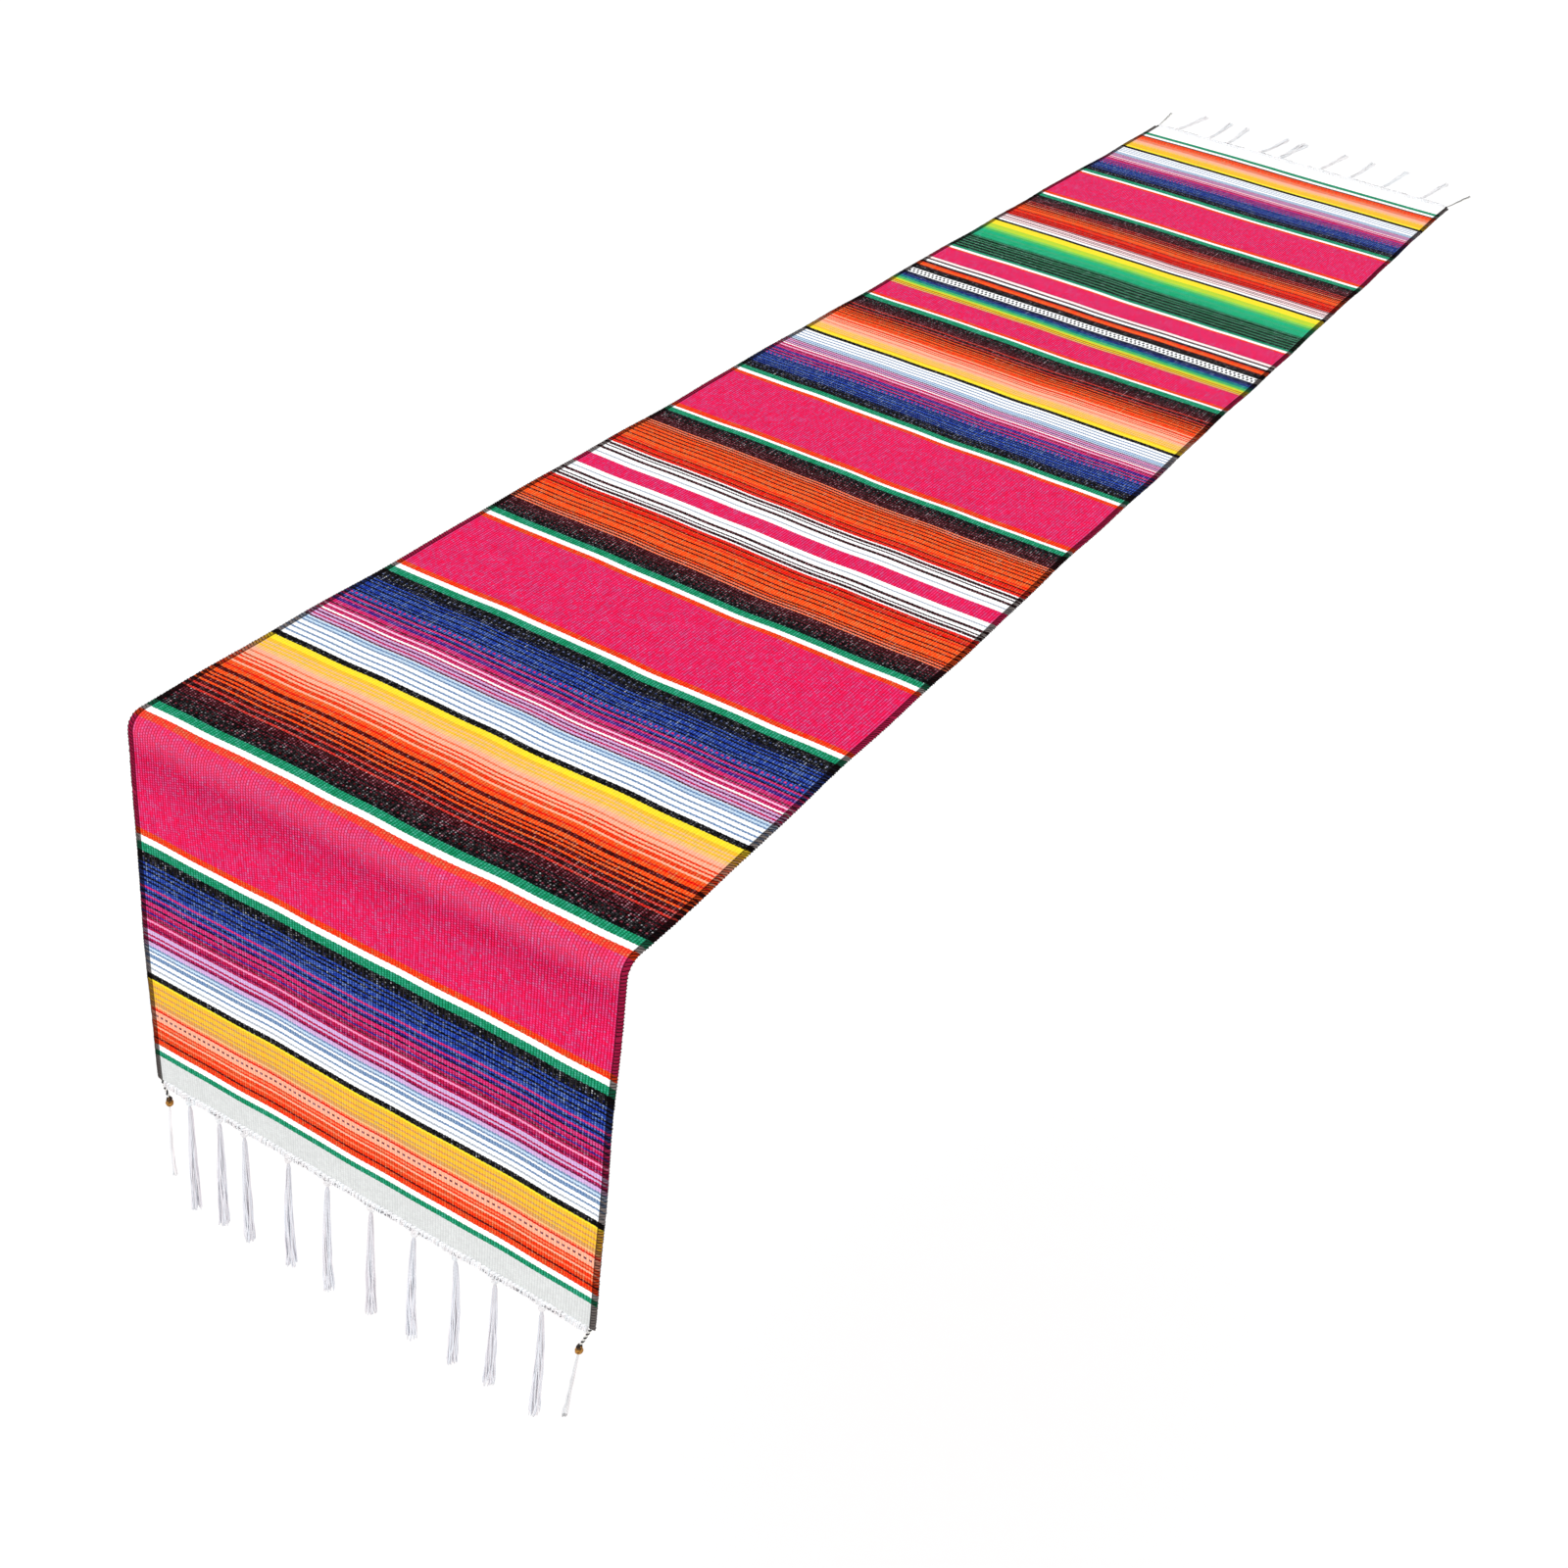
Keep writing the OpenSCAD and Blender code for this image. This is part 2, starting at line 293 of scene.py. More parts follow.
def cloth_point(u, v, lift=0.0):
    """The place in the row frame of a point lifted off the cloth's middle towards its face."""
    height = swell(u, v) + lift
    turn = np.clip((v - FOLD_FROM) / FOLD_R, 0, math.pi / 2)
    across = u + waist(v) * u / EDGE
    y = FOLD_Y - (FOLD_R + height) * np.cos(turn) + np.maximum(v - FOLD_TO, 0)
    z = FOLD_Z + (FOLD_R + height) * np.sin(turn) - np.maximum(FOLD_FROM - v, 0)
    return np.stack(np.broadcast_arrays(across, y, z), axis=-1)


# ---- Meshes ----

class Soup:
    """Grids of quads, each with its colours and weave coordinates, gathered into one mesh."""

    def __init__(self):
        self.points, self.faces, self.tints, self.weave = [], [], [], []
        self.size = 0

    def grid(self, points, tints, u, v, closed=False, flip=False):
        """A sheet of rows by columns. closed joins the last column to the first, and u then has
        one value more than there are columns."""
        rows, columns = points.shape[:2]
        first = np.arange(rows - 1)[:, None] * columns
        cells = columns if closed else columns - 1
        near, beside = np.arange(cells), (np.arange(cells) + 1) % columns
        quads = np.stack(
            [first + near, first + beside, first + columns + beside, first + columns + near], -1
        )
        u = np.broadcast_to(u, (rows, cells + 1))
        v = np.broadcast_to(v, (rows, cells + 1))
        uv = np.stack([u, v], -1)
        corner = np.stack([uv[:-1, :-1], uv[:-1, 1:], uv[1:, 1:], uv[1:, :-1]], -2)
        tint = np.broadcast_to(tints, (rows - 1, cells, 3))
        if flip:
            quads, corner = quads[..., ::-1], corner[..., ::-1, :]
        self.faces.extend((quads + self.size).reshape(-1, 4).tolist())
        self.weave.append(corner.reshape(-1, 2))
        self.tints.append(np.repeat(tint.reshape(-1, 3), 4, axis=0))
        self.points.append(points.reshape(-1, 3))
        start = self.size
        self.size += rows * columns
        return start

    def cap(self, loop, tint, uv=(0.5, 0.5)):
        """One flat face over vertices that are already there."""
        self.faces.append([int(i) for i in loop])
        self.weave.append(np.tile(uv, (len(loop), 1)))
        self.tints.append(np.tile(tint, (len(loop), 1)))

    def tube(self, path, radius, tint, sides=6, pitch=2.2 * MM):
        """A round thread along a path, closed at both ends. pitch is the lay of its ply."""
        path = np.asarray(path, float)
        count = len(path)
        radius = np.broadcast_to(radius, (count,))
        along = np.gradient(path, axis=0)
        along /= np.linalg.norm(along, axis=1)[:, None] + 1e-12
        side = np.zeros_like(path)
        guide = np.eye(3)[np.argmin(np.abs(along[0]))]
        for i in range(count):
            guide = guide - (guide @ along[i]) * along[i]
            guide = guide / (np.linalg.norm(guide) + 1e-12)
            side[i] = guide
        other = np.cross(along, side)
        turn = TAU * np.arange(sides) / sides
        cos, sin = np.cos(turn)[None, :, None], np.sin(turn)[None, :, None]
        ring = cos * side[:, None] + sin * other[:, None]
        points = path[:, None] + radius[:, None, None] * ring
        gone = np.concatenate([[0], np.cumsum(np.linalg.norm(np.diff(path, axis=0), axis=1))])
        tints = np.broadcast_to(tint, (count - 1, 3))
        start = self.grid(
            points, tints[:, None], np.arange(sides + 1)[None] / sides, gone[:, None] / pitch, True
        )
        self.cap(start + np.arange(sides)[::-1], tints[0], (0.25, 0))
        self.cap(start + (count - 1) * sides + np.arange(sides), tints[-1], (0.25, 0))

    def piece(self, name, material, sharp=None):
        """The gathered mesh as an object. sharp holds groups of vertices that keep hard edges."""
        mesh = bpy.data.meshes.new(name)
        mesh.from_pydata(np.concatenate(self.points).tolist(), [], self.faces)
        mesh.polygons.foreach_set("use_smooth", np.ones(len(self.faces), bool))
        colours = np.ones((len(mesh.loops), 4), np.float32)
        colours[:, :3] = np.concatenate(self.tints)
        mesh.color_attributes.new("yarn", "FLOAT_COLOR", "CORNER").data.foreach_set(
            "color", colours.ravel()
        )
        layer = mesh.uv_layers.new(name="weave")
        layer.data.foreach_set("uv", np.concatenate(self.weave).astype(np.float32).ravel())
        if sharp is not None:
            ends = np.zeros(2 * len(mesh.edges), np.int32)
            mesh.edges.foreach_get("vertices", ends)
            ends = ends.reshape(-1, 2)
            hard = (sharp[ends[:, 0]] & sharp[ends[:, 1]]) > 0
            mesh.attributes.new("sharp_edge", "BOOLEAN", "EDGE").data.foreach_set("value", hard)
        mesh.materials.append(material)
        mesh.update()
        obj = bpy.data.objects.new(name, mesh)
        bpy.context.scene.collection.objects.link(obj)
        return obj


# ---- Materials ----

class Nodes:
    """A small helper to wire a node tree."""

    def __init__(self, name):
        self.material = bpy.data.materials.new(name)
        self.material.use_nodes = True
        self.tree = self.material.node_tree
        self.shader = self.tree.nodes["Principled BSDF"]

    def add(self, kind, *inputs, **settings):
        node = self.tree.nodes.new(kind)
        for key, value in settings.items():
            setattr(node, key, value)
        for socket, value in zip(node.inputs, inputs):
            self.set(socket, value)
        return node

    def set(self, socket, value):
        if isinstance(value, bpy.types.NodeSocket):
            self.tree.links.new(value, socket)
        elif value is not None:
            socket.default_value = value

    def math(self, operation, *inputs):
        return self.add("ShaderNodeMath", *inputs, operation=operation).outputs[0]

    def ramp(self, value, low, high):
        """value from 0 to 1 as a number from low to high."""
        return self.math("MULTIPLY_ADD", value, high - low, low)

    def noise(self, u, v, scale, detail=2.0, seed=0.0):
        at = self.add("ShaderNodeCombineXYZ", u, v, seed).outputs[0]
        node = self.add("ShaderNodeTexNoise", noise_dimensions="3D")
        self.set(node.inputs["Vector"], at)
        self.set(node.inputs["Scale"], scale)
        self.set(node.inputs["Detail"], detail)
        return node.outputs["Fac"]

    def speckle(self, u, v):
        """A random number from 0 to 1 for each whole u and v."""
        at = self.add("ShaderNodeCombineXYZ", u, v, 0.0).outputs[0]
        return self.add("ShaderNodeTexWhiteNoise", at, noise_dimensions="3D").outputs["Value"]

    def band(self, v, start, stop, soft):
        """1 where the row v is between two places along the cloth, fading over soft at both."""
        rising = self.math("MULTIPLY_ADD", v, ROW / soft, 0.5 - start / soft)
        falling = self.math("MULTIPLY_ADD", v, -ROW / soft, 0.5 + stop / soft)
        return self.math("MULTIPLY", self.clamp(rising), self.clamp(falling))

    def clamp(self, value):
        return self.add("ShaderNodeClamp", value).outputs[0]

    def scale(self, colour, value):
        """A colour made lighter or darker by a number."""
        node = self.add("ShaderNodeVectorMath", colour, operation="SCALE")
        self.set(node.inputs["Scale"], value)
        return node.outputs[0]

    def mix(self, share, first, second):
        node = self.add("ShaderNodeMix", data_type="RGBA")
        for place, value in ((0, share), (6, first), (7, second)):
            self.set(node.inputs[place], value)
        return node.outputs[2]


def yarn_coordinates(nodes):
    split = nodes.add(
        "ShaderNodeSeparateXYZ", nodes.add("ShaderNodeUVMap", uv_map="weave").outputs[0]
    )
    return split.outputs[0], split.outputs[1]


def finish(nodes, colour, height, rough, depth, strength):
    """Connects the colour and roughness, and makes the height into bump."""
    nodes.set(nodes.shader.inputs["Base Color"], colour)
    nodes.set(nodes.shader.inputs["Roughness"], rough)
    bumps = nodes.add("ShaderNodeBump")
    nodes.set(bumps.inputs["Strength"], strength)
    nodes.set(bumps.inputs["Distance"], depth)
    nodes.set(bumps.inputs["Height"], height)
    nodes.set(nodes.shader.inputs["Normal"], bumps.outputs[0])
    return nodes.material


GRAIN_ROUND = 0.55                             # below 1, a grain is flat with steep sides
PALE_WARP = (0.42, 0.34, 0.38, 1)
WARP_SHOWS = 0.16                              # most that the warp shows in a dark groove
# Colour of the painted sheen along the fold
FOLD_SHEEN_TINT = (1.0, 0.42, 0.66, 1)
FOLD_SHEEN_MOST = 0.13                                     # most that a grain's crest is paled by the painted sheen along the fold
GRAIN_BUMP = 0.28 * MM
PLY_BUMP = 0.2 * MM


def woven_material():
    """Grains of packed weft: u counts ribs and v counts rows. A grain is one rib wide and one row
    long, and the grains of every second rib are half a row further on."""
    nodes = Nodes("woven_cloth")
    m = nodes.math
    u, v = yarn_coordinates(nodes)
    yarn = nodes.add("ShaderNodeAttribute", attribute_name="yarn").outputs["Color"]
    pale = m("POWER", nodes.add("ShaderNodeRGBToBW", yarn).outputs[0], 0.5)
    across = m("ABSOLUTE", m("SINE", m("MULTIPLY", u, math.pi)))
    odd = m("FLOOR", m("FLOORED_MODULO", u, 2.0))
    stepped = m("MULTIPLY_ADD", odd, 0.5, v)
    along = m("ABSOLUTE", m("SINE", m("MULTIPLY", stepped, math.pi)))
    lengthwise = nodes.ramp(m("POWER", along, GRAIN_ROUND), 0.4, 1.0)
    grain = m("MULTIPLY", m("POWER", across, GRAIN_ROUND), lengthwise)
    pit = m("SUBTRACT", 1.0, grain)
    fibre = nodes.noise(m("MULTIPLY", u, 2.0), m("MULTIPLY", v, 2.6), 1.0, 3.0)
    streak = nodes.noise(m("MULTIPLY", u, 0.97), m("MULTIPLY", v, 0.12), 1.0, 2.0, 7.0)
    wear = nodes.noise(m("MULTIPLY", u, 0.03), m("MULTIPLY", v, 0.025), 1.0, 2.0, 3.0)
    speck = nodes.speckle(m("FLOOR", u), m("FLOOR", stepped))
    # Painted shade: yarn is made darker and deeper in colour down in a pit, as the shade between
    # grains, and no two grains are quite alike. Pale yarn gets less of this painted shade and is
    # more even.
    uneven = m("MULTIPLY_ADD", pale, -1.15, 1.2)
    pit_shade_and_tone = m("MULTIPLY_ADD", pit, 1.5, -0.35)
    pit_shade_and_tone = m("ADD", pit_shade_and_tone, m("MULTIPLY_ADD", speck, 0.9, -0.45))
    pit_shade_and_tone = m("ADD", pit_shade_and_tone, m("MULTIPLY_ADD", streak, 1.0, -0.5))
    pit_shade_and_tone = m("MULTIPLY_ADD", pit_shade_and_tone, uneven, 1.0)
    gamma = nodes.add("ShaderNodeGamma", yarn, pit_shade_and_tone).outputs[0]
    light = m("SUBTRACT", 1.0, m("MULTIPLY", pit, m("MULTIPLY_ADD", uneven, 0.17, 0.03)))
    spread = m("MULTIPLY", uneven, 0.75)
    light = m("MULTIPLY", light, m("MULTIPLY_ADD", m("SUBTRACT", fibre, 0.5), spread, 1.0))
    light = m("MULTIPLY", light, nodes.ramp(wear, 0.98, 1.08))
    light = m("MULTIPLY", light, m("MULTIPLY_ADD", m("SUBTRACT", speck, 0.5), spread, 1.0))
    colour = nodes.scale(gamma, light)
    # Below the fold the weave is pulled open, and there its pits are painted darker as shade
    open_pit_shade = m("MULTIPLY", nodes.band(v, FOLD_FROM - 0.032, FOLD_FROM - 0.002, 0.03), pit)
    colour = nodes.scale(colour, m("MULTIPLY_ADD", m("MULTIPLY", open_pit_shade, uneven), -0.95, 1.08))
    # Painted sheen: along the fold the grain crests are mixed towards a pale pink highlight
    fold_sheen_band = nodes.band(v, FOLD_FROM - 0.006, FOLD_TO - 0.004, 0.016)
    colour = nodes.mix(m("MULTIPLY", fold_sheen_band, m("MULTIPLY", grain, FOLD_SHEEN_MOST)), colour, FOLD_SHEEN_TINT)
    # Between dark grains the pale warp peeps out of the grooves here and there
    groove = m("POWER", m("SUBTRACT", 1.0, across), 2.0)
    gap = nodes.clamp(m("MULTIPLY_ADD", streak, 6.0, -2.8))
    dark = nodes.clamp(m("MULTIPLY_ADD", pale, -3.2, 1.0))
    shows = m("MULTIPLY", m("MULTIPLY", groove, gap), m("MULTIPLY", dark, WARP_SHOWS))
    colour = nodes.mix(shows, colour, PALE_WARP)
    height = m("ADD", grain, m("MULTIPLY", fibre, 0.4))
    shader = nodes.shader.inputs
    shader["Specular IOR Level"].default_value = 0.04
    shader["Sheen Weight"].default_value = 0.01
    shader["Sheen Roughness"].default_value = 0.35
    return finish(nodes, colour, height, nodes.ramp(fibre, 0.75, 0.95), GRAIN_BUMP, 0.8)


def thread_material(name, plies, dark, sheen, rough, shine=0.2):
    """Plied thread: u goes round it and v along it in turns of the ply."""
    nodes = Nodes(name)
    m = nodes.math
    u, v = yarn_coordinates(nodes)
    yarn = nodes.add("ShaderNodeAttribute", attribute_name="yarn").outputs["Color"]
    lay = m("ADD", m("MULTIPLY", u, plies), v)
    ply = m("ABSOLUTE", m("SINE", m("MULTIPLY", lay, math.pi)))
    fibre = nodes.noise(m("MULTIPLY", lay, 2.0), m("MULTIPLY", v, 3.0), 1.3, 3.0)
    fluff = nodes.noise(u, m("MULTIPLY", v, 0.22), 1.0, 2.0, 5.0)
    # Painted shade: the yarn colour is darkened to dark times itself in the grooves between the
    # plies
    light = m("MULTIPLY", nodes.ramp(ply, dark, 1.03), nodes.ramp(fibre, 0.90, 1.10))
    light = m("MULTIPLY", light, nodes.ramp(fluff, 0.92, 1.08))
    height = m("ADD", ply, m("MULTIPLY", fibre, 0.4))
    shader = nodes.shader.inputs
    shader["Specular IOR Level"].default_value = shine
    shader["Sheen Weight"].default_value = sheen
    shader["Sheen Roughness"].default_value = 0.4
    colour = nodes.scale(yarn, light)
    rough = nodes.ramp(fibre, rough - 0.1, rough + 0.15)
    return finish(nodes, colour, height, rough, PLY_BUMP, 0.6)


CLOTH = woven_material()
BINDING = thread_material("overlock_thread", 2.0, 0.6, 0.0, 0.8, 0.05)
WHITE = thread_material("white_yarn", 2.0, 0.86, 0.2, 0.65)
DARK = thread_material("dark_thread", 2.0, 0.7, 0.1, 0.6)
BROWN = thread_material("brown_thread", 2.0, 0.65, 0.1, 0.55)


# ---- Cloth panels ----

def web(name, start, stop):
    """The open cloth from one row to another: ribbed face, ribbed back, rims and cut ends."""
    soup = Soup()
    rows = np.arange(start, stop + 1)
    sides = np.arange(2 * RIBS + 1)
    u = (-WEB + sides * RIB / 2)[None, :]
    crest = (sides % 2)[None, :]
    step = np.where(sides // 2 % 2 == 0, 1, -1)[None, :] * crest * STAGGER
    inside = ((rows > 0) & (rows < ROWS))[:, None]
    straight = (rows * ROW)[:, None]
    v = straight + step * inside + wander(u, straight)
    face = cloth_point(u, v, HALF_T - CREST * (1 - crest))
    back = cloth_point(u, v, -HALF_T + CREST * (1 - crest))
    rib = np.arange(2 * RIBS) // 2
    tints = WEFT[rows[:-1][:, None], (rib % 2)[None, :]]
    soup.grid(face, tints, sides[None] / 2, rows[:, None].astype(float))
    soup.grid(back, tints, sides[None] / 2, rows[:, None].astype(float), flip=True)
    columns, count = len(sides), len(rows)
    top = np.arange(columns * count).reshape(count, columns)
    under = top + columns * count
    # The rims of the open cloth are painted at 0.7 of their weft colour, as shade
    for edge, turned in ((0, False), (-1, True)):
        for r in range(count - 1):
            loop = [top[r, edge], top[r + 1, edge], under[r + 1, edge], under[r, edge]]
            soup.cap(loop[::-1] if turned else loop, WEFT[rows[r], 0] * 0.7, (0.2, rows[r] + 0.5))
    for edge, turned in ((0, True), (-1, False)):
        for c in range(columns - 1):
            loop = [top[edge, c], top[edge, c + 1], under[edge, c + 1], under[edge, c]]
            soup.cap(
                loop if turned else loop[::-1], WEFT[rows[0 if edge == 0 else -2], 0], (0.5, 0.5)
            )
    # Edges that lie in an end or a side of the panel are hard, so that the weave runs on
    # smoothly from one panel to the next.
    flags = np.zeros(soup.size, np.int32)
    for group, bit in ((top[0], 1), (top[-1], 2), (under[0], 1), (under[-1], 2),
                       (top[:, 0], 4), (top[:, -1], 8), (under[:, 0], 4), (under[:, -1], 8)):
        flags[group] |= bit
    return soup.piece(name, CLOTH, flags)


# ---- Bound edges ----

STITCH = 2.5 * MM                              # from one loop of the overlock to the next
THREAD_R = 0.24 * MM
NEEDLE_R = 0.2 * MM
NEEDLE_IN = 4.0 * MM                           # needle line, in from the edge
THREAD_PITCH = 1.1 * MM
OVERLOCK = linear((24, 9, 10))
ROLL_SIDES = 14                                # sides of the rolled edge


def binding(name, side, start, stop, rng):
    """The overlocked edge: the cloth's own edge pressed into a narrow roll, and the dark thread
    that loops over it."""
    soup = Soup()
    rows = np.arange(start, stop + 1)
    straight = (rows * ROW)[:, None]
    turn = np.linspace(0, TAU, ROLL_SIDES + 1)[None, :-1]
    body = np.abs(np.cos(turn)) ** 0.55 * np.sign(np.cos(turn))
    beat = 0.5 + 0.5 * np.cos(TAU * straight / STITCH + 0.6)
    middle, half = EDGE - SEAM / 2 - 0.25 * MM, SEAM / 2 + 0.1 * MM
    u = middle + (half + 0.18 * MM * beat * (body > 0)) * body
    lift = 0.08 * MM + (0.62 + 0.1 * beat) * MM * np.sin(turn)
    v = straight + wander(side * u, straight)
    # Partly painted shade: the roll takes the local weft colour darkened to about a quarter and
    # warmed, for the shade in the roll and for the dark overlock thread that covers it closely
    cells = WEFT[rows[:-1]].mean(axis=1)
    cells = cells * (0.24 + 0.4 * np.ptp(cells, axis=1, keepdims=True)) * (1.0, 0.84, 0.8)
    points = cloth_point(side * u, v, lift)
    first = soup.grid(
        points, cells[:, None], np.arange(ROLL_SIDES + 1)[None] / ROLL_SIDES * 3,
        straight / (1.3 * MM), True, flip=side > 0,
    )
    ring = first + np.arange(ROLL_SIDES)
    last = ring + (len(rows) - 1) * ROLL_SIDES
    soup.cap(ring if side > 0 else ring[::-1], cells[0])
    soup.cap(last[::-1] if side > 0 else last, cells[-1])
    # One thread zigzags from the needle line out over the edge and back underneath.
    shape = np.array([  # distance in from the edge, height and stitch share, for one loop
        (4.0, 0.40, 0.00), (3.4, 0.92, 0.10), (2.0, 0.98, 0.42), (0.8, 0.92, 0.72),
        (0.05, 0.45, 0.92), (-0.12, 0.0, 1.0), (0.1, -0.35, 1.0), (0.9, -0.55, 1.0),
        (2.2, -0.58, 1.0), (3.5, -0.50, 1.0), (4.0, -0.20, 1.0),
    ])
    loops = np.arange(math.ceil(start * ROW / STITCH), math.floor(stop * ROW / STITCH) - 0.01)
    if len(loops) == 0:
        loops = np.array([start * ROW / STITCH])
    at = (loops[:, None] + shape[None, :, 2]) * STITCH + rng.normal(0, 0.12 * MM, (len(loops), 1))
    reach = np.broadcast_to(shape[:, 0], at.shape) * MM + rng.normal(0, 0.1 * MM, (len(loops), 1))
    high = np.broadcast_to(shape[:, 1], at.shape) * MM
    where = np.clip(at.ravel(), start * ROW, stop * ROW)
    across = side * (EDGE - reach.ravel())
    path = cloth_point(across, where + wander(across, where), high.ravel())
    shade = WEFT[np.clip((where[:-1] / ROW).astype(int), 0, ROWS - 1)].mean(axis=1)
    thread = 0.05 * shade + 0.95 * OVERLOCK
    soup.tube(path, THREAD_R, thread, 5, THREAD_PITCH)
    # The needle thread runs straight along the inner side of the seam
    line = np.linspace(start * ROW, stop * ROW, max(12, 3 * (stop - start) // 2))
    inner = np.full_like(line, side * (EDGE - NEEDLE_IN))
    dip = 0.72 * MM + 0.22 * MM * np.abs(np.sin(math.pi * line / STITCH))
    shade = WEFT[np.clip((line[:-1] / ROW).astype(int), 0, ROWS - 1)].mean(axis=1)
    soup.tube(
        cloth_point(inner, line + wander(inner, line), dip), NEEDLE_R,
        0.25 * shade + 0.75 * OVERLOCK, 5, THREAD_PITCH,
    )
    return soup.piece(name, BINDING)


# ---- Where each panel starts, and what it rides on ----

FOLD_START, FOLD_END = 0.240, 0.340            # v at the ends of the fold's panel
LIFT_BEFORE, LIFT_AFTER = 0.050, 0.060         # lift panel, before and after its line
FOLD_PANEL = (round(FOLD_START / ROW), round(FOLD_END / ROW))
LIFT_PANEL = (round((LIFT_V - LIFT_BEFORE) / ROW), round((LIFT_V + LIFT_AFTER) / ROW))
TOP_PANELS = 5
BEND = 0.020                                   # half the length over which the far end bends
BEYOND = 0.004                                 # how far outside the bend a blend ends
FOLD_ENDS = ((0, FOLD_Y + BEYOND, HALF_T), (0, DROP_Y, FOLD_Z - BEYOND))
LIFT_ENDS = ((0, LIFT_Y - BEND, HALF_T), (0, LIFT_Y + BEND, HALF_T))

marks = np.linspace(FOLD_PANEL[1], LIFT_PANEL[0], TOP_PANELS + 1).round().astype(int)
PANELS = [
    ("drop", 0, FOLD_PANEL[0], "drop", ["drop"]),
    ("fold", *FOLD_PANEL, ("top_run", "drop", *FOLD_ENDS), ["fold"]),
    *[(f"top_{i + 1}", marks[i], marks[i + 1], "top_run", ["top"]) for i in range(TOP_PANELS)],
    ("lift", *LIFT_PANEL, ("top_run", "far_end", *LIFT_ENDS), ["top", "far"]),
    ("far", LIFT_PANEL[1], ROWS, "far_end", ["far"]),
]


def follow(piece, rides):
    """Lets a piece ride on one body; a piece given two bodies keeps its place, with its transform
    baked into its mesh.
    """
    if isinstance(rides, str):
        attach(piece, rides)
    else:
        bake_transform(piece)


def put(piece, body, node):
    """For a piece that rides on one body, replaces one CAD node."""
    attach(piece, body)
    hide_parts(node)
    return piece


SEED = 11                                      # every draw comes from this one generator
rng = np.random.default_rng(SEED)
for part, start, stop, rides, nodes in PANELS:
    for side, hand in ((-1, "left"), (1, "right")):
        edge = binding(f"edge_{part}_{hand}", side, int(start), int(stop), rng)
        follow(edge, rides)
        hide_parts(*[f"overlock_{n}_{hand}" for n in nodes])
    panel = web(f"woven_{part}", int(start), int(stop))
    follow(panel, rides)
    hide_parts(*["cloth_far_end" if n == "far" else f"cloth_{n}" for n in nodes])


# ---- Cords and knots along the two ends ----

WHITE_YARN = linear((250, 250, 252))
SHADE_SQUIGGLE_GREY = linear((128, 126, 132))
CORD_LAY = 6.5 * MM                            # length of one turn of the twined cord
CORD_PLY, CORD_OFF = 0.95 * MM, 0.85 * MM      # radius of a ply, and how far off centre
LOOP_R = 0.5 * MM                              # radius of the yarns looped over a heading
NEAR_GATHER_R, FAR_GATHER_R = 0.55 * MM, 0.5 * MM   # yarns that gather into a knot
SHADE_SQUIGGLES, SHADE_SQUIGGLE_R = 26, 0.15 * MM                # grey squiggles painted over a heading as the shade in its gaps, and their radius


def off_white(rng, least=0.94):
    """White yarn with a slight grey or lavender cast."""
    light = rng.uniform(least, 1.0)
    return WHITE_YARN * light * (1 + rng.uniform(-0.02, 0.02) * np.array([1, -1, -1.6]))


def twined(soup, centre, cross_a, cross_b, half, pitch, rng):
    """Two yarns twisted round each other along X. centre gives the middle of the cord at x."""
    x = np.linspace(-half, half, int(2 * half / (0.7 * MM)))
    turn = TAU * x / pitch + 1.5 * np.sin(TAU * x / 0.061)
    for k in range(2):
        a = turn + math.pi * k
        off = CORD_OFF * (np.cos(a)[:, None] * cross_a + np.sin(a)[:, None] * cross_b)
        radius = CORD_PLY * (1 + 0.15 * np.sin(TAU * x / 0.023 + 2 * k))
        soup.tube(centre(x) + off, radius, off_white(rng), 7)


def hitches(soup, at, cross_a, cross_b, half, rng, reach):
    """The loose loops of warp yarn that lock the cord to the cut edge of the cloth."""
    x = -half
    turn = np.linspace(-0.25 * math.pi, 1.45 * math.pi, 12)
    while x < half:
        long = reach * rng.uniform(0.75, 1.25)
        wide = rng.uniform(1.2, 2.6) * MM
        lean = rng.uniform(-1.0, 1.0) * MM
        path = (
            at(np.full(len(turn), x))
            + np.outer(lean * np.sin(turn) + wide * (turn / math.pi - 0.5) * 0.5, (1, 0, 0))
            + np.outer(long * np.cos(turn), cross_a)
            + np.outer(1.75 * MM * np.sin(turn), cross_b)
        )
        soup.tube(path, LOOP_R, off_white(rng, 0.9), 5)
        x += rng.uniform(1.5, 2.9) * MM


def knot(soup, centre, axis, across, size, tint, rng, turns=2.6, thick=0.42):
    """An overhand knot: turns of yarn wound round the bundle and one end tucked across them."""
    axis, across = np.asarray(axis, float), np.asarray(across, float)
    third = np.cross(axis, across)
    tilt = rng.uniform(-0.2, 0.2)
    wind = np.linspace(0, 1, 44)
    turn = TAU * turns * wind + rng.uniform(0, TAU)
    bulge = 1 - 0.35 * (2 * wind - 1) ** 2
    path = (
        np.asarray(centre)
        + np.outer(size * 0.62 * bulge * np.cos(turn), across)
        + np.outer(size * 0.62 * bulge * np.sin(turn), third)
        + np.outer(size * (1.1 * (wind - 0.5) + tilt * np.cos(turn)), axis)
    )
    soup.tube(path, size * thick, tint(), 7)
    lean = rng.uniform(-0.6, 0.6)
    cross = np.linspace(-1, 1, 12)
    path = (
        np.asarray(centre)
        + np.outer(size * (0.25 + lean * cross), across)
        + np.outer(size * (0.95 * np.cos(cross * 1.2) - 0.32), third)
        + np.outer(size * 0.62 * cross, axis)
    )
    soup.tube(path, size * 0.34, tint(), 6)


DOWN, OUT, ALONG = np.array([0, 0, -1.0]), np.array([0, -1.0, 0]), np.array([0, 1.0, 0])
UP, RIGHT = np.array([0, 0, 1.0]), np.array([1.0, 0, 0])
CORD_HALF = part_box("twined_cord_near")[1].x


